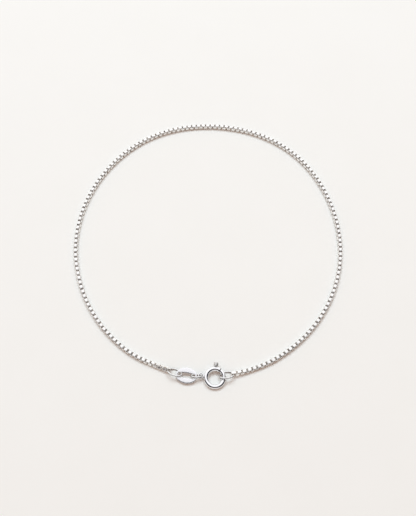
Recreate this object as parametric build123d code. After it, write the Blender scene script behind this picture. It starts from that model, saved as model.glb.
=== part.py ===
from build123d import *

import os
from math import asin, atan2, cos, degrees, radians, sin, tan

# Fine silver box-chain anklet, lying closed on a flat surface, with a spring-ring clasp at its front.
# Millimetres. +Z is up, the surface is z = 0, and the clasp is on the -Y side.

# ---------------------------------------------------------------- driving dimensions
LINK_SIDE = 1.15          # outer side of a square box link, so also the chain's width
LINK_STRIP = 0.76         # width of the strip that a link is folded from
LINK_WALL = 0.18          # thickness of that strip
LINK_CORNER = 0.28        # outside corner radius of a link
END_LINK_LENGTH = 1.40    # the last link at each end is longer, to take a ring's wire as well

RING_WIRE = 0.42          # wire of every jump ring
RING_LENGTH = 4.20        # oval jump ring at each end of the chain, outside
RING_WIDTH = 3.00
RING_END_RADIUS = 1.05    # radius of the wire's centre line at the oval's ends
SMALL_RING_LENGTH = 3.00  # oval ring between the tag and the clasp, outside
SMALL_RING_WIDTH = 2.25
SMALL_RING_END_RADIUS = 0.80

TAG_LENGTH = 5.60         # flat oval tag
TAG_WIDTH = 4.20
TAG_END_RADIUS = 1.85
TAG_THICKNESS = 0.34
TAG_EDGE = 0.08           # rounding of the tag's edges
SLOT_WIDTH = 1.30         # the tag's long slot
SLOT_END_BAND = 0.45      # metal left at each end of the slot
SLOT_CORNER = 0.30

CLASP_DIAMETER = 6.00     # spring ring, outside
CLASP_TUBE = 1.20         # its tube, outside diameter
CLASP_BORE = 1.08         # and inside
GATE_WIRE = 0.98          # the sliding gate inside the tube
MOUTH = (-15.0, 55.0)     # angles of the tube's two open ends, in degrees about the clasp's axis
GATE_TIP = -19.0          # the closed gate reaches this far into the tube's lower end
GATE_TAIL = 100.0
TRIGGER_ANGLE = 85.0
GATE_TRAVEL = 62.0        # how far the trigger pulls the gate round
TRIGGER_NECK = 0.40
TRIGGER_KNOB = 1.30
TRIGGER_REACH = 4.15      # from the clasp's axis to the top of the knob
TRIGGER_EDGE = 0.35
SLOT_CLEARANCE = 0.05     # between the trigger's neck and its slot in the tube, on each side
KNOB_CLEARANCE = 0.08     # between the knob and the tube
EYE_DIAMETER = 1.65       # the closed eye soldered to the tube, outside
EYE_WIRE = 0.40
EYE_REACH = 3.72          # from the clasp's axis to the eye's centre
EYE_ANGLE = 172.0         # of the eye about the clasp's axis
CLASP_RADIUS = (CLASP_DIAMETER - CLASP_TUBE) / 2    # of the tube's centre line

# ---------------------------------------------------------------- places
CLASP_CENTRE = Vector(1.85, -36.65, 0.95)
TAG_CENTRE = Vector(-5.76, -36.10, 0.96)
TAG_HEADING = -9.0
TAG_LEAN = 8.0
# heading: direction of a ring's long axis on the surface; lean: angle between its plane and the surface
LEFT_RING = dict(at=(-8.90, -35.21), heading=-19.0, lean=39.0)
SMALL_RING = dict(at=(-3.05, -36.15), heading=0.0, lean=54.0)
CATCH_RING = dict(at=(4.97, -35.95), heading=8.0, lean=38.0)
END_LINK_REACH = 1.98     # from an end ring's centre to the centre of the end link on it
END_LINK_SLIP = 0.15      # how far that link has slid down the ring's slope
LEFT_LINK_ROLL = 50.0     # elevation of each end link's window, which looks outwards and up
CATCH_LINK_ROLL = 25.0

# Route of the chain's centre line on the surface, from the catch ring round to the left ring. The arc
# at each point passes inside it, so the points stand a little outside the chain.
CHAIN_ROUTE = [
    (7.8, -35.46), (14.2, -33.85), (22.6, -28.95), (29.75, -22.0), (34.95, -13.2), (37.65, -3.1),
    (37.4, 7.65), (34.4, 18.1), (28.9, 27.3), (20.8, 34.4), (10.9, 38.6), (0.3, 40.0),
    (-10.25, 38.85), (-20.1, 34.65), (-28.25, 27.45), (-34.15, 18.4), (-37.4, 8.2), (-37.7, -2.6),
    (-35.05, -12.8), (-30.0, -21.7), (-23.0, -28.75), (-16.5, -32.45), (-11.55, -34.16),
]
ARC_SHARE = 0.45          # of the shorter run beside a corner, taken by the corner's arc


# ---------------------------------------------------------------- shapes
def oval_arcs(length, width, end_radius):
    """The four arcs of an oval about the origin: centre, radius, first angle and sweep of each."""
    half_length, half_width = length / 2, width / 2
    end_x = half_length - end_radius
    flank_radius = (end_x**2 + half_width**2 - end_radius**2) / (2 * (half_width - end_radius))
    flank_y = flank_radius - half_width
    turn = degrees(atan2(flank_y, end_x))
    return [
        (Vector(end_x, 0), end_radius, -turn, 2 * turn),
        (Vector(0, -flank_y), flank_radius, turn, 180 - 2 * turn),
        (Vector(-end_x, 0), end_radius, 180 - turn, 2 * turn),
        (Vector(0, flank_y), flank_radius, 180 + turn, 180 - 2 * turn),
    ]


def oval_face(length, width, end_radius):
    """A flat oval bounded by four tangent arcs."""
    arcs = [
        CenterArc(centre, radius, start, sweep)
        for centre, radius, start, sweep in oval_arcs(length, width, end_radius)
    ]
    return make_face(arcs)


def tube_arc(section, centre, radius, start, sweep):
    """A section swept round an arc in the XY plane. The section is drawn about its own centre."""
    upright = Plane(origin=(radius, 0, 0), x_dir=(1, 0, 0), z_dir=(0, -1, 0))
    turned = revolve(upright * section, Axis.Z, sweep)
    return Pos(centre.X, centre.Y, centre.Z) * Rot(0, 0, start) * turned


def oval_ring(length, width, end_radius, wire):
    """A closed oval ring of round wire in the XY plane, long along X, by its outside sizes."""
    arcs = oval_arcs(length - wire, width - wire, end_radius)
    return Part() + [tube_arc(Circle(wire / 2), *arc) for arc in arcs]


def box_link(length):
    """A box link: long along X, folded about Z, its strip's width along Z."""
    outside = RectangleRounded(length, LINK_SIDE, LINK_CORNER)
    window = RectangleRounded(length - 2 * LINK_WALL, LINK_SIDE - 2 * LINK_WALL, LINK_CORNER - LINK_WALL)
    return extrude(outside - window, LINK_STRIP / 2, both=True)


# ---------------------------------------------------------------- places in space
def ring_plane(at, heading, lean, width):
    """Plane of a leaning ring: X along the ring, Y up its slope, its lower side on the surface."""
    turn, slope = radians(heading), radians(lean)
    along = Vector(cos(turn), sin(turn), 0)
    uphill = Vector(sin(turn) * cos(slope), -cos(turn) * cos(slope), sin(slope))
    rise = (width - RING_WIRE) / 2 * sin(slope) + RING_WIRE / 2
    return Plane(origin=(*at, rise), x_dir=along, z_dir=along.cross(uphill))


def clasp_plane():
    """Plane of the spring ring: tipped about X until its front edge rests on the surface."""
    tip = asin((CLASP_CENTRE.Z - CLASP_TUBE / 2) / CLASP_RADIUS)
    return Plane(origin=CLASP_CENTRE, x_dir=(1, 0, 0), z_dir=(0, -sin(tip), cos(tip)))


def tag_plane():
    """Plane of the tag: turned on the surface and tipped towards the front."""
    turn, slope = radians(TAG_HEADING), radians(TAG_LEAN)
    along = Vector(cos(turn), sin(turn), 0)
    uphill = Vector(-sin(turn) * cos(slope), cos(turn) * cos(slope), sin(slope))
    return Plane(origin=TAG_CENTRE, x_dir=along, z_dir=along.cross(uphill))


LEFT_RING_PLANE = ring_plane(**LEFT_RING, width=RING_WIDTH)
SMALL_RING_PLANE = ring_plane(**SMALL_RING, width=SMALL_RING_WIDTH)
CATCH_RING_PLANE = ring_plane(**CATCH_RING, width=RING_WIDTH)
CLASP_PLANE = clasp_plane()
CLASP_AXIS = Vector(0, 0)     # in the clasp's own plane


# ---------------------------------------------------------------- the chain
def chain_tube():
    """The chain's outer form: its square section along straight runs joined by tangent arcs."""
    points = [Vector(x, y, LINK_SIDE / 2) for x, y in CHAIN_ROUTE]
    runs = [(b - a).length for a, b in zip(points, points[1:])]
    radii = []
    for before, corner, after, run_in, run_out in zip(points, points[1:], points[2:], runs, runs[1:]):
        turn = (corner - before).get_angle(after - corner)
        radii.append(ARC_SHARE * min(run_in, run_out) / tan(radians(turn) / 2))
    path = FilletPolyline(*points, radius=radii)
    start = Plane(origin=path @ 0, x_dir=(0, 0, 1), z_dir=path % 0)
    section = start * RectangleRounded(LINK_SIDE, LINK_SIDE, LINK_CORNER)
    tube = sweep(section, path=path)
    print("chain runs", [round(run, 2) for run in runs])
    print("chain radii", [round(radius, 1) for radius in radii])
    print("chain length", round(path.length, 2), "volume", round(tube.volume, 2))
    print("section times length", round(section.area * path.length, 2))
    return tube


def end_link(ring, side, roll):
    """An end link on the ring's -1 (left) or 1 (right) end, its window rolled up from facing outwards."""
    centre = ring.from_local_coords(Vector(side * END_LINK_REACH, -END_LINK_SLIP, 0))
    along = ring.x_dir
    outwards = along.cross(Vector(0, 0, 1))
    window = outwards * cos(radians(roll)) + Vector(0, 0, sin(radians(roll)))
    return Plane(origin=centre, x_dir=along, z_dir=window) * box_link(END_LINK_LENGTH)


# ---------------------------------------------------------------- rings and tag
def end_ring(plane):
    return plane * oval_ring(RING_LENGTH, RING_WIDTH, RING_END_RADIUS, RING_WIRE)


def small_ring():
    ring = oval_ring(SMALL_RING_LENGTH, SMALL_RING_WIDTH, SMALL_RING_END_RADIUS, RING_WIRE)
    return SMALL_RING_PLANE * ring


def oval_tag():
    """A flat oval with a long slot whose ends follow the oval's."""
    outline = oval_face(TAG_LENGTH, TAG_WIDTH, TAG_END_RADIUS)
    end_radius = TAG_END_RADIUS - SLOT_END_BAND
    reach = oval_face(TAG_LENGTH - 2 * SLOT_END_BAND, TAG_WIDTH - 2 * SLOT_END_BAND, end_radius)
    slot = extrude(reach & Rectangle(TAG_LENGTH, SLOT_WIDTH), TAG_THICKNESS, both=True)
    slot = fillet(slot.edges().filter_by(Axis.Z), SLOT_CORNER)
    tag = extrude(outline, TAG_THICKNESS / 2, both=True) - slot
    flat_edges = tag.faces().filter_by(Axis.Z).edges()
    return tag_plane() * fillet(flat_edges, TAG_EDGE)


# ---------------------------------------------------------------- the clasp
def upright_post(diameter, bottom, top):
    """A round post on the Z axis, between two heights."""
    return Pos(0, 0, bottom) * Cylinder(
        diameter / 2, top - bottom, align=(Align.CENTER, Align.CENTER, Align.MIN)
    )


def spring_ring_body():
    """The hollow tube from the mouth's upper end round to its lower one, its trigger slot and the eye."""
    lower, upper = MOUTH
    sweep_angle = 360 + lower - upper
    tube = tube_arc(Circle(CLASP_TUBE / 2), CLASP_AXIS, CLASP_RADIUS, upper, sweep_angle)
    bore = tube_arc(Circle(CLASP_BORE / 2), CLASP_AXIS, CLASP_RADIUS, 0, 360)
    eye = tube_arc(Circle(EYE_WIRE / 2), Vector(EYE_REACH, 0), (EYE_DIAMETER - EYE_WIRE) / 2, 0, 360)
    slot_width = TRIGGER_NECK + 2 * SLOT_CLEARANCE
    slot_section = Pos(CLASP_TUBE / 2, 0) * Rectangle(CLASP_TUBE, slot_width)
    margin = degrees(slot_width / 2 / CLASP_RADIUS)
    first_angle, slot_sweep = TRIGGER_ANGLE - margin, GATE_TRAVEL + 2 * margin
    slot = tube_arc(slot_section, CLASP_AXIS, CLASP_RADIUS, first_angle, slot_sweep)
    return CLASP_PLANE * (tube + Rot(0, 0, EYE_ANGLE) * eye - bore - slot)


def spring_ring_gate():
    """The gate wire with a domed tip, and its trigger: a thin neck through the slot with a knob outside."""
    wire = tube_arc(Circle(GATE_WIRE / 2), CLASP_AXIS, CLASP_RADIUS, GATE_TIP, GATE_TAIL - GATE_TIP)
    tip = Rot(0, 0, GATE_TIP) * Pos(CLASP_RADIUS, 0, 0) * Sphere(GATE_WIRE / 2)
    knob_foot = CLASP_DIAMETER / 2 + KNOB_CLEARANCE
    neck = upright_post(TRIGGER_NECK, CLASP_RADIUS, knob_foot + TRIGGER_EDGE)
    knob = upright_post(TRIGGER_KNOB, knob_foot, TRIGGER_REACH)
    knob = fillet(knob.edges().group_by(Axis.Z)[-1], TRIGGER_EDGE)
    trigger = Rot(0, 0, TRIGGER_ANGLE) * Rot(0, 90, 0) * (neck + knob)
    return CLASP_PLANE * (wire + tip + trigger)


# ---------------------------------------------------------------- the assembly
def build():
    return {
        "box_chain": chain_tube(),
        "end_link_left": end_link(LEFT_RING_PLANE, -1, LEFT_LINK_ROLL),
        "end_link_right": end_link(CATCH_RING_PLANE, 1, CATCH_LINK_ROLL),
        "jump_ring_left": end_ring(LEFT_RING_PLANE),
        "oval_tag": oval_tag(),
        "jump_ring_small": small_ring(),
        "spring_ring_body": spring_ring_body(),
        "spring_ring_gate": spring_ring_gate(),
        "catch_ring": end_ring(CATCH_RING_PLANE),
    }


nodes = build()
os.makedirs("parts", exist_ok=True)
for name, solid in nodes.items():
    export_step(solid, f"parts/{name}.step")
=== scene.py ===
import random
from math import asin, atan2, cos, degrees, pi, radians, sin, sqrt

import bpy
import numpy as np
from mathutils import Matrix, Vector


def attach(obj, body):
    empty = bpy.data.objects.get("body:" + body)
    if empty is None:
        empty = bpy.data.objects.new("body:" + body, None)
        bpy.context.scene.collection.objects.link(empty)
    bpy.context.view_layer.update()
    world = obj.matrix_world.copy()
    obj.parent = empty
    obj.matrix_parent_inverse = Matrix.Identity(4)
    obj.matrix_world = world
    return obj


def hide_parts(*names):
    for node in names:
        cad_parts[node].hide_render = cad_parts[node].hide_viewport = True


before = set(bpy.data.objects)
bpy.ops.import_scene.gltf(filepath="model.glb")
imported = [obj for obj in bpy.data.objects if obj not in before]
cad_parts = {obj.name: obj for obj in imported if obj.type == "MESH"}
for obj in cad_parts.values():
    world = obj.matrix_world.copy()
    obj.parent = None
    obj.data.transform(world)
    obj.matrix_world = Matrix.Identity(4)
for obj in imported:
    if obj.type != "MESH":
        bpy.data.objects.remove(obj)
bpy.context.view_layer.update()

# A fine silver box-chain anklet, lying closed, with its oval tag, jump rings and spring-ring clasp.
# Metres. +Z is up and the surface is z = 0.

MM = 0.001
ANKLET = "anklet"
GATE = "gate"

# ---------------------------------------------------------------- sizes of the pieces
LINK_SIDE = 1.15 * MM
LINK_STRIP = 0.76 * MM
LINK_WALL = 0.18 * MM
LINK_CORNER = 0.28 * MM
LINK_CORNER_STEPS = 5         # sides to each corner of a link
LINK_DOME = 0.02 * MM         # how far the outer faces of a link are crowned
LINK_EDGE = 0.05 * MM         # rounding of the strip's long edges
EDGE_EASE = 0.3               # share of an edge's rounding that its first step takes
END_LINK_LENGTH = 1.40 * MM
LINK_PITCH = 0.70 * MM

WIRE_SIDES = 20
RING_STEPS = 28               # sections to each quarter turn of a ring
RING_WIRE = 0.42 * MM
RING_LENGTH, RING_WIDTH, RING_END_RADIUS = 4.20 * MM, 3.00 * MM, 1.05 * MM
SMALL_RING_LENGTH, SMALL_RING_WIDTH, SMALL_RING_END_RADIUS = 3.00 * MM, 2.25 * MM, 0.80 * MM
SEAM_SWELL, SEAM_SPREAD = 0.07, 0.16 * MM        # a ring's solder joint: a low bead
SEAM_GROOVE, GROOVE_SPREAD = 0.10, 0.04 * MM     # with a fine groove in its middle

TAG_LENGTH, TAG_WIDTH, TAG_END_RADIUS = 5.60 * MM, 4.20 * MM, 1.85 * MM
TAG_THICKNESS = 0.34 * MM
TAG_EDGE = 0.08 * MM
TAG_CROWN = 0.008 * MM
TAG_STEPS = 80                # sections to each quarter turn of the tag
SLOT_WIDTH = 1.30 * MM
SLOT_END_BAND = 0.45 * MM
SLOT_CORNER = 0.30 * MM

CLASP_DIAMETER = 6.00 * MM
CLASP_TUBE = 1.20 * MM
CLASP_WALL = 0.06 * MM
CLASP_LIP = 0.025 * MM        # rounding of the tube's cut edges
CLASP_RADIUS = (CLASP_DIAMETER - CLASP_TUBE) / 2
TUBE_SIDES = 30               # sides of the tube, apart from the slot
TUBE_STEPS = (10, 22, 60)     # stations to the slot, along the slot, and on round to the mouth
GATE_WIRE = 0.98 * MM
GATE_STATIONS, GATE_SIDES, GATE_TIP_STEPS = 96, 28, 8
MOUTH = (-15.0, 55.0)
GATE_TIP, GATE_TAIL = -19.0, 100.0
TRIGGER_ANGLE, GATE_TRAVEL = 85.0, 62.0
TRIGGER_NECK, TRIGGER_KNOB, TRIGGER_REACH = 0.40 * MM, 1.30 * MM, 4.15 * MM
TRIGGER_EDGE = 0.35 * MM      # rounding of the knob's top
KNOB_EDGE = 0.10 * MM         # rounding of its foot
KNOB_SIDES, NECK_SIDES = 40, 20
NECK_OVERLAP = 0.10 * MM      # how far the neck runs into the knob
KNOB_CLEARANCE = 0.08 * MM
TRIGGER_SLOT = 0.50 * MM
EYE_DIAMETER, EYE_REACH, EYE_ANGLE = 1.65 * MM, 3.72 * MM, 172.0
EYE_WIRE = 0.40 * MM
EYE_STEPS = 48
POOL_REACH = CLASP_DIAMETER / 2 - 0.04 * MM      # the solder that holds the eye to the tube
POOL_RADII = (0.20 * MM, 0.46 * MM, 0.27 * MM)
POOL_STEPS, POOL_SIDES = 16, 24

# ---------------------------------------------------------------- places of the pieces
CLASP_CENTRE = Vector((1.85, -36.65, 0.95)) * MM
TAG_CENTRE = Vector((-5.76, -36.10, 0.96)) * MM
TAG_HEADING, TAG_LEAN = -9.0, 8.0
LEFT_RING = dict(at=(-8.90 * MM, -35.21 * MM), heading=-19.0, lean=39.0, width=RING_WIDTH)
SMALL_RING = dict(at=(-3.05 * MM, -36.15 * MM), heading=0.0, lean=54.0, width=SMALL_RING_WIDTH)
CATCH_RING = dict(at=(4.97 * MM, -35.95 * MM), heading=8.0, lean=38.0, width=RING_WIDTH)
END_LINK_REACH = 1.98 * MM
END_LINK_SLIP = 0.15 * MM
LEFT_LINK_ROLL, CATCH_LINK_ROLL = 50.0, 25.0

# The chain's roll about its own line: each end link's roll fades along the chain, and two gentle
# twists are added.
CATCH_ROLL_REACH = 3.0 * MM
LEFT_ROLL_REACH, LEFT_ROLL_START = 8.0 * MM, 1.05
RIPPLE_ROLL, RIPPLE_PLACE, RIPPLE_SPREAD = 16, 38 * MM, 4.5 * MM
BACK_ROLL = -7
LINK_YAW, LINK_ROLL = 1.5, 3.0                   # how far single links stray, in degrees
LIFT_START, LIFT_REACH = 0.8 * MM, 5 * MM        # how the end rings lift the chain's ends
TANGENT_STEP = 0.2 * MM

# The chain's route on the surface, from the catch ring round to the left ring.
CHAIN_ROUTE = [
    (0.0078, -0.03546), (0.0142, -0.03385), (0.0226, -0.02895), (0.02975, -0.022), (0.03495, -0.0132),
    (0.03765, -0.0031), (0.0374, 0.00765), (0.0344, 0.0181), (0.0289, 0.0273), (0.0208, 0.0344),
    (0.0109, 0.0386), (0.0003, 0.04), (-0.01025, 0.03885), (-0.0201, 0.03465), (-0.02825, 0.02745),
    (-0.03415, 0.0184), (-0.0374, 0.0082), (-0.0377, -0.0026), (-0.03505, -0.0128), (-0.03, -0.0217),
    (-0.023, -0.02875), (-0.0165, -0.03245), (-0.01155, -0.03416),
]

# ---------------------------------------------------------------- wear, painted shade, camera and floor
# Painted shade on the rings' undersides: its strength, then where it sets in and its fade.
UNDERSIDE_SHADE = 0.9
UNDERSIDE_START, UNDERSIDE_FADE = 0.72, 0.5      # the normal's z where it sets in, and its fade
# Painted shade at the clasp's mouth: how far it reaches and how it fades.
MOUTH_SHADE_REACH, MOUTH_SHADE_FADE = 1.5, 2.5               # degrees from the clasp's mouth
CLOUD_SCALE, SCRATCH_SCALE, GRAIN_SCALE = 900.0, 9000.0, 60.0
SCRATCH_DEPTH = 0.00001
CAMERA_ELEVATION, CAMERA_DISTANCE, CAMERA_LENS = 70, 212.6 * MM, 52.33
CAMERA_TARGET = Vector((0, -2.35 * MM, 0))
FLOOR_HALF = 0.8


# ---------------------------------------------------------------- camera
def make_camera():
    """Looks down at the loop from in front of the clasp."""
    elevation = radians(CAMERA_ELEVATION)
    data = bpy.data.cameras.new("camera")
    data.lens = CAMERA_LENS
    data.sensor_width = 36
    data.clip_start = 0.005
    camera = bpy.data.objects.new("camera", data)
    camera.location = CAMERA_TARGET + CAMERA_DISTANCE * Vector((0, -cos(elevation), sin(elevation)))
    camera.rotation_euler = (CAMERA_TARGET - camera.location).to_track_quat("-Z", "Y").to_euler()
    bpy.context.scene.collection.objects.link(camera)
    bpy.context.scene.camera = camera


make_camera()


# ---------------------------------------------------------------- node helpers
def add(tree, kind, **settings):
    """A node of that kind. Settings named after an input fill it, and any other is an attribute."""
    node = tree.nodes.new(kind)
    for name, value in settings.items():
        if name in node.inputs:
            node.inputs[name].default_value = value
        else:
            setattr(node, name, value)
    return node


def new_group(name, inputs, outputs):
    """An empty shader group. Inputs are (name, kind, default) and outputs (name, kind)."""
    group = bpy.data.node_groups.new(name, "ShaderNodeTree")
    for socket_name, kind, default in inputs:
        socket = group.interface.new_socket(socket_name, in_out="INPUT", socket_type=kind)
        socket.default_value = default
    for socket_name, kind in outputs:
        group.interface.new_socket(socket_name, in_out="OUTPUT", socket_type=kind)
    entry = group.nodes.new("NodeGroupInput")
    leave = group.nodes.new("NodeGroupOutput")
    return group, entry, leave


def noise(tree, vector, scale, detail, roughness=0.55):
    """Noise at a vector, as a value from 0 to 1."""
    node = add(tree, "ShaderNodeTexNoise", Scale=scale, Detail=detail, Roughness=roughness)
    tree.links.new(vector, node.inputs["Vector"])
    return node.outputs["Fac"]


def remap(tree, value, low, high, to_low, to_high):
    """The value's range from low to high, stretched to another range and held inside it."""
    node = add(tree, "ShaderNodeMapRange")
    node.inputs["From Min"].default_value = low
    node.inputs["From Max"].default_value = high
    node.inputs["To Min"].default_value = to_low
    node.inputs["To Max"].default_value = to_high
    tree.links.new(value, node.inputs["Value"])
    return node.outputs["Result"]


def maths(tree, operation, first, second):
    """A math node on two values, each a number or a socket."""
    node = add(tree, "ShaderNodeMath", operation=operation)
    for socket, value in zip(node.inputs, (first, second)):
        if isinstance(value, (int, float)):
            socket.default_value = value
        else:
            tree.links.new(value, socket)
    return node.outputs[0]


def mix_colour(tree, factor, first, second):
    """From the first colour to the second by the factor. Each may be a socket."""
    node = add(tree, "ShaderNodeMix", data_type="RGBA")
    sockets = node.inputs[0], node.inputs[6], node.inputs[7]       # the factor, A and B of a colour mix
    for socket, value in zip(sockets, (factor, first, second)):
        if isinstance(value, (int, float, tuple)):
            socket.default_value = value
        else:
            tree.links.new(value, socket)
    return node.outputs[2]


# ---------------------------------------------------------------- finishes
def stained_and_shaded_silver_group():
    """Silver with faint clouds of stain and fine scratches, darkened further by a value on the mesh:
    painted shade on the rings' undersides and at the clasp's mouth, partly tarnish and partly painted
    shade in the chain's links.
    """
    inputs = [
        ("Bright", "NodeSocketColor", (0.93, 0.92, 0.90, 1)),
        ("Tarnish And Shade", "NodeSocketColor", (0.42, 0.34, 0.25, 1)),
        ("Darkening", "NodeSocketFloat", 0.0),
        ("Polish", "NodeSocketFloat", 0.12),
        ("Cloud", "NodeSocketFloat", 0.05),
        ("Scratch Stretch", "NodeSocketVector", (1.0, 1.0, 1.0)),
    ]
    outputs = [
        ("Colour", "NodeSocketColor"),
        ("Roughness", "NodeSocketFloat"),
        ("Height", "NodeSocketFloat"),
    ]
    group, entry, leave = new_group("stained_and_shaded_silver", inputs, outputs)
    place = add(group, "ShaderNodeTexCoord").outputs["Object"]
    clouds = noise(group, place, CLOUD_SCALE, 4.0)
    stretched = add(group, "ShaderNodeVectorMath", operation="MULTIPLY")
    group.links.new(place, stretched.inputs[0])
    group.links.new(entry.outputs["Scratch Stretch"], stretched.inputs[1])
    scratches = noise(group, stretched.outputs[0], SCRATCH_SCALE, 2.0, 0.6)
    stain = remap(group, clouds, 0.42, 0.72, 0.0, 1.0)
    stain = maths(group, "MULTIPLY", stain, entry.outputs["Cloud"])
    darkened = maths(group, "MAXIMUM", stain, entry.outputs["Darkening"])
    colour = mix_colour(group, darkened, entry.outputs["Bright"], entry.outputs["Tarnish And Shade"])
    group.links.new(colour, leave.inputs["Colour"])
    rough = maths(group, "MULTIPLY", darkened, 0.25)
    rough = maths(group, "ADD", rough, entry.outputs["Polish"])
    rough = maths(group, "ADD", rough, remap(group, scratches, 0.35, 0.75, -0.02, 0.06))
    group.links.new(rough, leave.inputs["Roughness"])
    group.links.new(scratches, leave.inputs["Height"])
    return group


STAINED_AND_SHADED_SILVER = stained_and_shaded_silver_group()


def silver(name, bright, tarnish_and_shade, polish, cloud, scratch, stretch=(1.0, 1.0, 1.0)):
    """A silver finish. A value on the mesh says where it takes its dark tone: painted shade on the
    rings and at the clasp's mouth, partly tarnish and partly painted shade in the chain's links.

    The polish value is the bare metal's roughness, so a higher one is duller.
    """
    material = bpy.data.materials.new(name)
    material.use_nodes = True
    tree = material.node_tree
    shader = tree.nodes["Principled BSDF"]
    shader.inputs["Metallic"].default_value = 1.0
    stain_and_shade_node = add(tree, "ShaderNodeGroup", node_tree=STAINED_AND_SHADED_SILVER)
    stain_and_shade_node.inputs["Bright"].default_value = (*bright, 1)
    stain_and_shade_node.inputs["Tarnish And Shade"].default_value = (*tarnish_and_shade, 1)
    stain_and_shade_node.inputs["Polish"].default_value = polish
    stain_and_shade_node.inputs["Cloud"].default_value = cloud
    stain_and_shade_node.inputs["Scratch Stretch"].default_value = stretch
    darkening = add(tree, "ShaderNodeAttribute", attribute_name="darkening")
    tree.links.new(darkening.outputs["Fac"], stain_and_shade_node.inputs["Darkening"])
    tree.links.new(stain_and_shade_node.outputs["Colour"], shader.inputs["Base Color"])
    tree.links.new(stain_and_shade_node.outputs["Roughness"], shader.inputs["Roughness"])
    bump = add(tree, "ShaderNodeBump", Strength=scratch, Distance=SCRATCH_DEPTH)
    tree.links.new(stain_and_shade_node.outputs["Height"], bump.inputs["Height"])
    tree.links.new(bump.outputs["Normal"], shader.inputs["Normal"])
    return material


# Its dark tone is partly tarnish, partly painted shade, laid inside the links and on their edges.
CHAIN_SILVER = silver(
    "chain_silver", bright=(0.99, 0.98, 0.96), tarnish_and_shade=(0.82, 0.75, 0.68),
    polish=0.36, cloud=0.05, scratch=0.08,
)
# Its dark tone is painted shade, laid at the clasp's mouth.
CLASP_SILVER = silver(
    "clasp_silver", bright=(0.94, 0.94, 0.95), tarnish_and_shade=(0.10, 0.08, 0.07),
    polish=0.09, cloud=0.02, scratch=0.06,
)
# Its dark tone is painted shade, laid on each ring's underside.
RING_SILVER = silver(
    "ring_silver", bright=(0.94, 0.94, 0.93), tarnish_and_shade=(0.12, 0.10, 0.09),
    polish=0.12, cloud=0.03, scratch=0.08,
)
TAG_SILVER = silver(
    "tag_silver", bright=(0.92, 0.92, 0.94), tarnish_and_shade=(0.46, 0.40, 0.34),
    polish=0.27, cloud=0.03, scratch=0.06, stretch=(0.06, 1.0, 1.0),
)
# The knob's silver is a darker copy of the clasp's: its greyer look is painted shade.
KNOB_SILVER = silver(
    "knob_silver", bright=(0.72, 0.71, 0.69), tarnish_and_shade=(0.34, 0.28, 0.22),
    polish=0.34, cloud=0.05, scratch=0.08,
)


# ---------------------------------------------------------------- mesh helpers
def mesh_piece(name, vertices, faces, material, darkening=None):
    """A smooth-shaded piece from vertices and faces, with an optional value for each vertex of how far
    its silver darkens.
    """
    mesh = bpy.data.meshes.new(name)
    mesh.from_pydata([tuple(v) for v in vertices], [], faces)
    mesh.polygons.foreach_set("use_smooth", [True] * len(mesh.polygons))
    values = np.zeros(len(vertices)) if darkening is None else np.asarray(darkening, float)
    attribute = mesh.attributes.new("darkening", "FLOAT", "POINT")
    attribute.data.foreach_set("value", values)
    mesh.materials.append(material)
    mesh.validate()
    piece = bpy.data.objects.new(name, mesh)
    bpy.context.scene.collection.objects.link(piece)
    return piece


def grid_faces(stations, points, closed_path):
    """Quads between neighbouring sections of a loft whose sections are closed loops of points."""
    faces = []
    for i in range(stations if closed_path else stations - 1):
        here, there = i * points, (i + 1) % stations * points
        for j in range(points):
            k = (j + 1) % points
            faces.append((here + j, here + k, there + k, there + j))
    return faces


def loft(sections, closed_path):
    """A shape through sections, an array of stations by points by 3. Open ends are capped."""
    stations, points, _ = sections.shape
    faces = grid_faces(stations, points, closed_path)
    if not closed_path:
        faces.append(tuple(range(points - 1, -1, -1)))
        faces.append(tuple((stations - 1) * points + j for j in range(points)))
    return sections.reshape(-1, 3), faces


def joined(*shapes):
    """Several shapes, each of vertices and faces, as one."""
    vertices, faces, start = [], [], 0
    for shape_vertices, shape_faces in shapes:
        vertices.append(np.asarray(shape_vertices))
        faces += [tuple(start + index for index in face) for face in shape_faces]
        start += len(shape_vertices)
    return np.concatenate(vertices), faces


def placed(shape, matrix):
    """A shape of vertices and faces, moved by a matrix."""
    vertices, faces = shape
    turn, move = np.array(matrix.to_3x3()), np.array(matrix.translation)
    return vertices @ turn.T + move, faces


def basis(origin, along, across):
    """Matrix whose X is along and whose Y is across."""
    along, across = along.normalized(), across.normalized()
    upright = along.cross(across)
    matrix = Matrix((along, across, upright)).transposed().to_4x4()
    matrix.translation = origin
    return matrix


def ring_basis(at, heading, lean, width):
    """Place of a leaning ring: X along it, Y up its slope to the front, low side on the surface."""
    turn, slope = radians(heading), radians(lean)
    along = Vector((cos(turn), sin(turn), 0))
    uphill = Vector((sin(turn) * cos(slope), -cos(turn) * cos(slope), sin(slope)))
    rise = (width - RING_WIRE) / 2 * sin(slope) + RING_WIRE / 2
    return basis(Vector((*at, rise)), along, uphill)


def clasp_basis():
    """Place of the clasp, tipped so that its front lies on the surface."""
    tip = asin((CLASP_CENTRE.z - CLASP_TUBE / 2) / CLASP_RADIUS)
    return basis(CLASP_CENTRE, Vector((1, 0, 0)), Vector((0, cos(tip), sin(tip))))


def tag_basis():
    """Place of the tag: X along it, Y up its slope to the back."""
    turn, slope = radians(TAG_HEADING), radians(TAG_LEAN)
    along = Vector((cos(turn), sin(turn), 0))
    uphill = Vector((-sin(turn) * cos(slope), cos(turn) * cos(slope), sin(slope)))
    return basis(TAG_CENTRE, along, uphill)


LEFT_RING_BASIS = ring_basis(**LEFT_RING)
SMALL_RING_BASIS = ring_basis(**SMALL_RING)
CATCH_RING_BASIS = ring_basis(**CATCH_RING)
CLASP_BASIS = clasp_basis()


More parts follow.
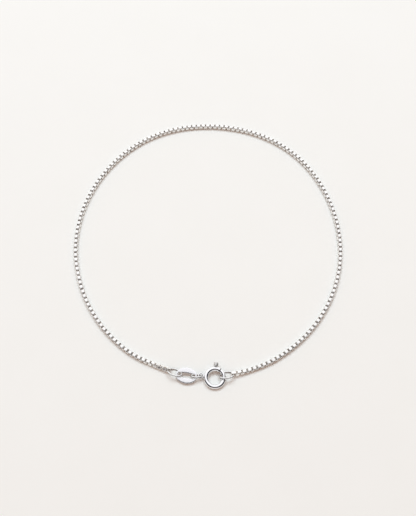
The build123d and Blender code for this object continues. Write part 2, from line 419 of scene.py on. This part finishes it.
# ---------------------------------------------------------------- outlines
def oval_line(length, width, end_radius, steps):
    """Points and outward normals round an oval of four tangent arcs, steps to each quarter turn."""
    half_length, half_width = length / 2, width / 2
    end_x = half_length - end_radius
    flank_radius = (end_x**2 + half_width**2 - end_radius**2) / (2 * (half_width - end_radius))
    flank_y = flank_radius - half_width
    turn = atan2(flank_y, end_x)
    points, normals = [], []
    for corner in range(4):
        for step in range(steps):
            angle = (corner + step / steps) * pi / 2
            direction = Vector((cos(angle), sin(angle)))
            side_x, side_y = (1 if direction.x >= 0 else -1), (1 if direction.y >= 0 else -1)
            if abs(direction.y) <= sin(turn):
                point = Vector((side_x * end_x, 0)) + end_radius * direction
            else:
                point = Vector((0, -side_y * flank_y)) + flank_radius * direction
            points.append(point)
            normals.append(direction)
    return points, normals


def round_section(radius, count):
    """Points of a circle as (outward, up) pairs."""
    return [(radius * cos(2 * pi * k / count), radius * sin(2 * pi * k / count)) for k in range(count)]


# ---------------------------------------------------------------- the box chain
def link_shape(length):
    """A box link, X along the chain and folded about Z, and how much darker each vertex is made."""
    half_strip = LINK_STRIP / 2
    crown = [(z * half_strip, -LINK_DOME * z * z) for z in (-0.80, -0.45, 0.0, 0.45, 0.80)]
    edge_top, edge_low = -LINK_DOME - LINK_EDGE, -LINK_WALL + LINK_EDGE
    inside = half_strip - LINK_EDGE
    near_edge = half_strip - EDGE_EASE * LINK_EDGE
    near_top = EDGE_EASE * (edge_top - LINK_DOME)
    section = crown + [
        (near_edge, near_top), (half_strip, edge_top), (half_strip, edge_low), (inside, -LINK_WALL),
        (-inside, -LINK_WALL), (-half_strip, edge_low), (-half_strip, edge_top), (-near_edge, near_top),
    ]
    # How much darker each point of the section is, towards the strip's edges and most on its inner
    # face: partly tarnish in the link's hollow, partly painted shade.
    link_darkening = [0.0] * len(crown) + [0.15, 0.35, 0.5, 1.0, 1.0, 0.5, 0.35, 0.15]
    sections = []
    for corner in range(4):
        side_x = 1 if corner in (0, 3) else -1
        side_y = 1 if corner in (0, 1) else -1
        centre = Vector((side_x * (length / 2 - LINK_CORNER), side_y * (LINK_SIDE / 2 - LINK_CORNER)))
        for step in range(LINK_CORNER_STEPS + 1):
            angle = (corner + step / LINK_CORNER_STEPS) * pi / 2
            outward = Vector((cos(angle), sin(angle)))
            base = centre + outward * LINK_CORNER
            sections.append([(*(base + outward * offset), z) for z, offset in section])
    shape = loft(np.array(sections), True)
    return shape, np.tile(link_darkening, len(sections))


def chain_line():
    """The smooth line through the route: points and the distance along it at each."""
    data = bpy.data.curves.new("chain_line", "CURVE")
    data.dimensions = "3D"
    data.resolution_u = 40
    spline = data.splines.new("NURBS")
    spline.points.add(len(CHAIN_ROUTE) - 1)
    for point, (x, y) in zip(spline.points, CHAIN_ROUTE):
        point.co = (x, y, 0, 1)
    spline.order_u = 3
    spline.use_endpoint_u = True
    carrier = bpy.data.objects.new("chain_line", data)
    bpy.context.scene.collection.objects.link(carrier)
    bpy.context.view_layer.update()
    mesh = bpy.data.meshes.new_from_object(carrier)
    points = np.array([v.co for v in mesh.vertices])
    bpy.data.objects.remove(carrier)
    bpy.data.curves.remove(data)
    bpy.data.meshes.remove(mesh)
    steps = np.linalg.norm(np.diff(points, axis=0), axis=1)
    return points, np.concatenate([[0], np.cumsum(steps)])


def smooth_step(value):
    """An eased ramp from 0 at 0 to 1 at 1, level beyond both."""
    value = min(max(value, 0.0), 1.0)
    return value * value * (3 - 2 * value)


def chain_twist(distance, length):
    """How far the chain is rolled about its own line at a distance along it, in degrees."""
    from_left = length - distance
    catch_side = CATCH_LINK_ROLL * smooth_step(1 - distance / CATCH_ROLL_REACH)
    left_side = LEFT_LINK_ROLL * smooth_step(LEFT_ROLL_START - from_left / LEFT_ROLL_REACH)
    ripple = RIPPLE_ROLL * np.exp(-((from_left - RIPPLE_PLACE) / RIPPLE_SPREAD) ** 2)
    back = BACK_ROLL * sin(pi * distance / length) ** 2
    return catch_side + left_side + ripple + back


def chain_height(twist, distance, length):
    """Height of a link's centre: it lies on its rolled corners, and is lifted by the end rings."""
    roll = radians(twist)
    lying = (LINK_SIDE / 2 - LINK_CORNER) * (cos(roll) + abs(sin(roll))) + LINK_CORNER
    height = lying
    ends = (distance, CATCH_RING_BASIS, CATCH_RING), (length - distance, LEFT_RING_BASIS, LEFT_RING)
    for from_end, place, ring in ends:
        hung = place.translation.z - END_LINK_SLIP * sin(radians(ring["lean"]))
        height += (hung - lying) * max(0, 1 - (from_end + LIFT_START) / LIFT_REACH) ** 2
    return height


def chain_links():
    """Every link of the chain, alternately upright and lying, interlocked along the line."""
    random.seed(17)
    points, reach = chain_line()
    length = reach[-1]
    count = round(length / LINK_PITCH / 2) * 2 + 1
    shape, link_darkening = link_shape(LINK_SIDE)

    def on_line(distance):
        return np.array([np.interp(distance, reach, points[:, axis]) for axis in range(3)])

    batches = {"chain_links_upright": [], "chain_links_lying": []}
    for index in range(count):
        distance = length * index / (count - 1)
        place = on_line(distance)
        ahead, behind = on_line(distance + TANGENT_STEP), on_line(distance - TANGENT_STEP)
        along = Vector(ahead - behind).normalized()
        twist = chain_twist(distance, length)
        place[2] = chain_height(twist, distance, length)
        yaw, roll = random.uniform(-LINK_YAW, LINK_YAW), random.uniform(-LINK_ROLL, LINK_ROLL)
        lying = index % 2 == 0
        window = Vector((0, 0, 1)) if lying else Vector((along.y, -along.x, 0))
        matrix = basis(Vector(place), along, window.cross(along))
        turn = Matrix.Rotation(radians(roll - twist), 4, "X") @ Matrix.Rotation(radians(yaw), 4, "Y")
        name = "chain_links_lying" if lying else "chain_links_upright"
        batches[name].append(placed(shape, matrix @ turn))
    for name, shapes in batches.items():
        piece = mesh_piece(name, *joined(*shapes), CHAIN_SILVER, np.tile(link_darkening, len(shapes)))
        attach(piece, ANKLET)
        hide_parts("box_chain")


def end_link(name, ring, side, lean, roll):
    """The longer link at the chain's end, which hangs from the ring, rolled about the chain's line."""
    centre = ring @ Vector((side * END_LINK_REACH, -END_LINK_SLIP, 0))
    along, window = ring.col[0].to_3d(), ring.col[1].to_3d()
    matrix = basis(centre, along, window.cross(along)) @ Matrix.Rotation(radians(lean - roll), 4, "X")
    shape, link_darkening = link_shape(END_LINK_LENGTH)
    piece = mesh_piece(name, *placed(shape, matrix), CHAIN_SILVER, link_darkening)
    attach(piece, ANKLET)
    return piece


chain_links()
left_link = end_link("end_link_left_folded", LEFT_RING_BASIS, -1, LEFT_RING["lean"], LEFT_LINK_ROLL)
right_link = end_link("end_link_right_folded", CATCH_RING_BASIS, 1, CATCH_RING["lean"], CATCH_LINK_ROLL)
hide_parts("end_link_left")
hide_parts("end_link_right")


# ---------------------------------------------------------------- jump rings
def oval_ring(length, width, end_radius, seam):
    """A closed oval ring of round wire in its own XY plane, soldered at the seam angle."""
    points, normals = oval_line(length - RING_WIRE, width - RING_WIRE, end_radius, RING_STEPS)
    sections = []
    for point, normal in zip(points, normals):
        away = (atan2(point.y, point.x) - radians(seam) + pi) % (2 * pi) - pi
        distance = abs(away) * point.length
        bead = SEAM_SWELL * np.exp(-(distance / SEAM_SPREAD) ** 2)
        groove = SEAM_GROOVE * np.exp(-(distance / GROOVE_SPREAD) ** 2)
        radius = RING_WIRE / 2 * (1 + bead - groove)
        wire = round_section(radius, WIRE_SIDES)
        sections.append([(*(point + normal * out), up) for out, up in wire])
    return loft(np.array(sections), True)


def underside(place, length, width, end_radius):
    """Painted shade on a leaning ring: most where the wire turns down."""
    _, normals = oval_line(length - RING_WIRE, width - RING_WIRE, end_radius, RING_STEPS)
    turn = place.to_3x3()
    upright = turn @ Vector((0, 0, 1))
    darkened = []
    for normal in normals:
        outward = turn @ Vector((*normal, 0))
        for out, up in round_section(1.0, WIRE_SIDES):
            facing = (outward * out + upright * up).z
            darkened.append(UNDERSIDE_SHADE * smooth_step((UNDERSIDE_START - facing) / UNDERSIDE_FADE))
    return darkened


def jump_ring(name, place, size, seam, node):
    """An oval ring in its place, standing for a node of the frame."""
    shape = placed(oval_ring(*size, seam), place)
    piece = mesh_piece(name, *shape, RING_SILVER, underside(place, *size))
    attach(piece, ANKLET)
    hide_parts(node)


END_RING_SIZE = (RING_LENGTH, RING_WIDTH, RING_END_RADIUS)
SMALL_RING_SIZE = (SMALL_RING_LENGTH, SMALL_RING_WIDTH, SMALL_RING_END_RADIUS)
jump_ring("jump_ring_left_wire", LEFT_RING_BASIS, END_RING_SIZE, seam=128, node="jump_ring_left")
jump_ring("catch_ring_wire", CATCH_RING_BASIS, END_RING_SIZE, seam=40, node="catch_ring")
jump_ring("jump_ring_small_wire", SMALL_RING_BASIS, SMALL_RING_SIZE, seam=95, node="jump_ring_small")


# ---------------------------------------------------------------- the tag
def slot_reach(direction):
    """How far the slot reaches from the tag's centre, with straight flanks and eased corners."""
    towards = Vector((abs(direction.x), abs(direction.y))).normalized()
    flank, end_radius = SLOT_WIDTH / 2, TAG_END_RADIUS - SLOT_END_BAND
    end = Vector((TAG_LENGTH / 2 - TAG_END_RADIUS, 0))
    corner_y = flank - SLOT_CORNER
    corner = Vector((end.x + sqrt((end_radius - SLOT_CORNER) ** 2 - corner_y**2), corner_y))
    join = corner + (corner - end).normalized() * SLOT_CORNER
    if towards.y * corner.x > towards.x * flank:
        return flank / towards.y
    on_corner = towards.y * join.x > towards.x * join.y
    centre, radius = (corner, SLOT_CORNER) if on_corner else (end, end_radius)
    forward = towards.dot(centre)
    return forward + sqrt(forward**2 - centre.length_squared + radius**2)


def tag_face(edge):
    """Points over the tag's upper face as (share of the way from slot to rim, height).

    The edge is the share of that way that each rolled edge takes.
    """
    face = TAG_THICKNESS / 2
    side, rolled, crowned = face - TAG_EDGE, face - EDGE_EASE * TAG_EDGE, face + 0.8 * TAG_CROWN
    return [
        (0.0, side), (EDGE_EASE * edge, rolled), (edge, face), (0.28, crowned), (0.5, face + TAG_CROWN),
        (0.72, crowned), (1 - edge, face), (1 - EDGE_EASE * edge, rolled), (1.0, side),
    ]


def oval_tag():
    """A flat stamped oval with a long slot, its faces slightly crowned and its edges rolled over."""
    outer, _ = oval_line(TAG_LENGTH, TAG_WIDTH, TAG_END_RADIUS, TAG_STEPS)
    inner = [point.normalized() * slot_reach(point) for point in outer]
    sections = []
    for out, inn in zip(outer, inner):
        edge = TAG_EDGE / (out - inn).length
        profile = [(*(inn + (out - inn) * share), height) for share, height in tag_face(edge)]
        under = [
            (x, y, -z + (TAG_CROWN if z > TAG_THICKNESS / 2 else 0)) for x, y, z in reversed(profile)
        ]
        sections.append(profile + under)
    vertices, faces = placed(loft(np.array(sections), True), tag_basis())
    piece = mesh_piece("oval_tag_plate", vertices, faces, TAG_SILVER)
    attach(piece, ANKLET)
    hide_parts("oval_tag")


oval_tag()


# ---------------------------------------------------------------- the clasp
def arc_point(angle, out, up):
    """A point by its angle round the clasp, and how far outward and up from the tube's middle line."""
    turn = radians(angle)
    reach = CLASP_RADIUS + out
    return (reach * cos(turn), reach * sin(turn), up)


def mouth_shade(angle):
    """Painted shade where the gate enters the tube: 1 at either side of the mouth, gone 4 degrees away.
    """
    from_mouth = min(abs((angle - mouth + 180) % 360 - 180) for mouth in MOUTH)
    return 1 - smooth_step((from_mouth - MOUTH_SHADE_REACH) / MOUTH_SHADE_FADE)


def clasp_tube():
    """The tube's outer skin, left open along the trigger's slot, and the painted shade at each vertex.
    """
    lower, upper = MOUTH
    radius = CLASP_TUBE / 2
    edge = degrees(asin(TRIGGER_SLOT / 2 / radius))
    margin = degrees(TRIGGER_SLOT / 2 / CLASP_RADIUS)
    slot_start, slot_end = TRIGGER_ANGLE - margin, TRIGGER_ANGLE + GATE_TRAVEL + margin
    to_slot, along_slot, to_mouth = TUBE_STEPS
    angles = np.concatenate([
        np.linspace(upper, slot_start, to_slot)[:-1],
        np.linspace(slot_start, slot_end, along_slot)[:-1],
        np.linspace(slot_end, 360 + lower, to_mouth),
    ])
    across_slot = [-edge / 3, edge / 3]
    section = np.concatenate([np.linspace(edge, 360 - edge, TUBE_SIDES + 1), across_slot])
    points = len(section)
    vertices = [
        arc_point(angle, radius * cos(radians(around)), radius * sin(radians(around)))
        for angle in angles for around in section
    ]
    faces = []
    slack = 0.01
    for i, angle in enumerate(angles[:-1]):
        for j in range(points):
            in_slot = j >= TUBE_SIDES and slot_start - slack <= angle < slot_end - slack
            if not in_slot:
                k = (j + 1) % points
                here, there = i * points, (i + 1) * points
                faces.append((here + j, here + k, there + k, there + j))
    darkening = np.repeat([mouth_shade(angle) for angle in angles], points)
    return (np.array(vertices), faces), darkening


def spring_ring_tube():
    """The clasp's tube, with its wall and eased cut edges."""
    shape, darkening = clasp_tube()
    piece = mesh_piece("spring_ring_tube", *placed(shape, CLASP_BASIS), CLASP_SILVER, darkening)
    wall = piece.modifiers.new("wall", "SOLIDIFY")
    wall.thickness = CLASP_WALL
    wall.offset = 1           # the skin's faces look inward, so this lays the wall inside it
    wall.use_even_offset = True
    lip = piece.modifiers.new("lip", "BEVEL")
    lip.width = CLASP_LIP
    lip.segments = 2
    lip.limit_method = "ANGLE"
    lip.angle_limit = radians(50)
    return piece


def eye_loop():
    """The eye's closed round wire, out along X from the clasp's centre."""
    centre, radius = Vector((EYE_REACH, 0)), (EYE_DIAMETER - EYE_WIRE) / 2
    sections = []
    for step in range(EYE_STEPS):
        turn = 2 * pi * step / EYE_STEPS
        outward = Vector((cos(turn), sin(turn)))
        sections.append([
            (*(centre + outward * (radius + out)), up)
            for out, up in round_section(EYE_WIRE / 2, WIRE_SIDES)
        ])
    return loft(np.array(sections), True)


def solder_pool():
    """A smooth drop of solder that fairs the eye into the tube, with a tiny flat cap at each pole."""
    length, width, height = POOL_RADII
    sections = []
    for step in range(POOL_STEPS + 1):
        tilt = pi * (step + 0.02) / (POOL_STEPS + 0.04)
        across, up = sin(tilt) * width, sin(tilt) * height
        turns = [2 * pi * k / POOL_SIDES for k in range(POOL_SIDES)]
        sections.append([
            (POOL_REACH - cos(tilt) * length, across * cos(turn), up * sin(turn)) for turn in turns
        ])
    return loft(np.array(sections), False)


def spring_ring_eye():
    """The closed eye soldered to the tube opposite the mouth."""
    stand = CLASP_BASIS @ Matrix.Rotation(radians(EYE_ANGLE), 4, "Z")
    shape = placed(joined(eye_loop(), solder_pool()), stand)
    return mesh_piece("spring_ring_eye", *shape, CLASP_SILVER)


def lathe(profile, count):
    """A closed solid turned about Z from (radius, height) pairs, bottom first."""
    sections = [
        [(*point, height) for point in round_section(radius, count)] for radius, height in profile
    ]
    return loft(np.array(sections), False)


def gate_wire():
    """The sliding wire, flat at its tail and domed at its tip, and the painted shade at each vertex."""
    radius = GATE_WIRE / 2
    stations = [(angle, 1.0) for angle in np.linspace(GATE_TAIL, GATE_TIP, GATE_STATIONS)]
    for step in range(1, GATE_TIP_STEPS):
        tilt = pi / 2 * step / (GATE_TIP_STEPS - 0.7)     # the last step stops just short of the pole
        stations.append((GATE_TIP - degrees(radius * sin(tilt) / CLASP_RADIUS), cos(tilt)))
    sections, darkening = [], []
    for angle, share in stations:
        section = round_section(radius * share, GATE_SIDES)
        sections.append([arc_point(angle, out, up) for out, up in section])
        darkening += [mouth_shade(angle)] * GATE_SIDES
    return loft(np.array(sections), False), darkening


def trigger():
    """A thin neck through the slot and the knob that a fingernail pulls, its edges rounded."""
    foot, knob_radius = CLASP_DIAMETER / 2 + KNOB_CLEARANCE, TRIGGER_KNOB / 2
    neck_radius = TRIGGER_NECK / 2
    neck = lathe([(neck_radius, CLASP_RADIUS), (neck_radius, foot + NECK_OVERLAP)], NECK_SIDES)
    profile = [(knob_radius * share, foot) for share in (0.3, 0.7)]
    for step in range(5):
        turn = pi / 2 * step / 4
        out, up = KNOB_EDGE * sin(turn), KNOB_EDGE * cos(turn)
        profile.append((knob_radius - KNOB_EDGE + out, foot + KNOB_EDGE - up))
    side = TRIGGER_REACH - TRIGGER_EDGE - foot - KNOB_EDGE
    profile += [(knob_radius, foot + KNOB_EDGE + side * share) for share in (0.2, 0.8)]
    for step in range(9):
        turn = pi / 2 * step / 8
        out, up = TRIGGER_EDGE * cos(turn), TRIGGER_EDGE * sin(turn)
        profile.append((knob_radius - TRIGGER_EDGE + out, TRIGGER_REACH - TRIGGER_EDGE + up))
    profile.append((knob_radius * 0.2, TRIGGER_REACH))
    stand = Matrix.Rotation(radians(TRIGGER_ANGLE), 4, "Z") @ Matrix.Rotation(pi / 2, 4, "Y")
    return placed(joined(neck, lathe(profile, KNOB_SIDES)), stand)


def spring_ring_gate():
    """The slide inside the tube and its trigger, which move together."""
    shape, darkening = gate_wire()
    slide = mesh_piece("spring_ring_slide", *placed(shape, CLASP_BASIS), CLASP_SILVER, darkening)
    knob = mesh_piece("spring_ring_trigger", *placed(trigger(), CLASP_BASIS), KNOB_SILVER)
    return slide, knob


for part in (spring_ring_tube(), spring_ring_eye()):
    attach(part, ANKLET)
    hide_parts("spring_ring_body")
for part in spring_ring_gate():
    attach(part, GATE)
    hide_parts("spring_ring_gate")


# ---------------------------------------------------------------- floor, light and surroundings
def paper():
    """Warm pale paper with a faint uneven tone."""
    material = bpy.data.materials.new("pale_paper")
    material.use_nodes = True
    tree = material.node_tree
    shader = tree.nodes["Principled BSDF"]
    place = add(tree, "ShaderNodeTexCoord").outputs["Object"]
    grain = noise(tree, place, GRAIN_SCALE, 3.0)
    colour = mix_colour(tree, grain, (0.85, 0.85, 0.83, 1), (0.87, 0.87, 0.855, 1))
    tree.links.new(colour, shader.inputs["Base Color"])
    shader.inputs["Roughness"].default_value = 0.9
    shader.inputs["Specular IOR Level"].default_value = 0.2
    return material


def make_floor():
    """A square of paper under the anklet, at z = 0."""
    corners = [(x * FLOOR_HALF, y * FLOOR_HALF, 0) for x, y in ((-1, -1), (1, -1), (1, 1), (-1, 1))]
    mesh = bpy.data.meshes.new("floor")
    mesh.from_pydata(corners, [], [(0, 1, 2, 3)])
    mesh.materials.append(paper())
    floor = bpy.data.objects.new("floor", mesh)
    bpy.context.scene.collection.objects.link(floor)


def soft_box(name, direction, distance, width, height, power, colour):
    """A rectangular light that faces the anklet from a direction."""
    data = bpy.data.lights.new(name, "AREA")
    data.shape = "RECTANGLE"
    data.size, data.size_y = width, height
    data.energy = power
    data.color = colour
    light = bpy.data.objects.new(name, data)
    light.location = Vector(direction).normalized() * distance
    light.rotation_euler = (-light.location).to_track_quat("-Z", "Y").to_euler()
    light.visible_camera = False
    light.visible_glossy = False
    bpy.context.scene.collection.objects.link(light)


def make_world():
    """The surroundings, by kind of ray.

    The silver reflects a room that is dark but for a window wall high at the back, two side walls
    and a table in front. Everything else is lit by an even warm fill, and the camera sees a pale
    backdrop.
    """
    world = bpy.data.worlds.new("room")
    bpy.context.scene.world = world
    world.use_nodes = True
    tree = world.node_tree
    tree.nodes.clear()
    direction = add(tree, "ShaderNodeTexCoord").outputs["Generated"]

    def facing(name, towards, outer, inner):
        """1 within inner degrees of a direction, falling to 0 at outer degrees."""
        dot = add(tree, "ShaderNodeVectorMath", operation="DOT_PRODUCT", label=name)
        dot.inputs[1].default_value = Vector(towards).normalized()
        tree.links.new(direction, dot.inputs[0])
        soft = add(tree, "ShaderNodeMapRange", interpolation_type="SMOOTHSTEP", label=name)
        soft.inputs["From Min"].default_value = cos(radians(outer))
        soft.inputs["From Max"].default_value = cos(radians(inner))
        tree.links.new(dot.outputs["Value"], soft.inputs["Value"])
        return soft.outputs["Result"]

    lit = facing("window wall", (-0.08, 0.70, 0.71), 65, 56)
    right = facing("right wall", (0.72, 0.69, 0.10), 28, 14)
    left = facing("left wall", (-0.95, 0.20, 0.26), 33, 17)
    front = facing("table in front", (0.0, -0.995, 0.10), 32, 16)
    room = mix_colour(tree, front, (0.014, 0.011, 0.014, 1), (0.50, 0.44, 0.44, 1))
    room = mix_colour(tree, left, room, (0.50, 0.47, 0.45, 1))
    room = mix_colour(tree, right, room, (0.62, 0.59, 0.62, 1))
    room = mix_colour(tree, lit, room, (1.10, 1.10, 1.12, 1))
    ray = add(tree, "ShaderNodeLightPath")
    colour = mix_colour(tree, ray.outputs["Is Glossy Ray"], (0.54, 0.405, 0.34, 1), room)
    colour = mix_colour(tree, ray.outputs["Is Camera Ray"], colour, (0.90, 0.885, 0.86, 1))
    background = add(tree, "ShaderNodeBackground", Strength=1.0)
    tree.links.new(colour, background.inputs["Color"])
    output = add(tree, "ShaderNodeOutputWorld")
    tree.links.new(background.outputs["Background"], output.inputs["Surface"])


make_floor()
make_world()
soft_box(
    "window", direction=(-0.06, 0.48, 0.88), distance=1.2, width=1.14, height=0.54,
    power=13.1, colour=(0.77, 0.925, 1.0),
)

bpy.context.scene.view_settings.view_transform = "Standard"
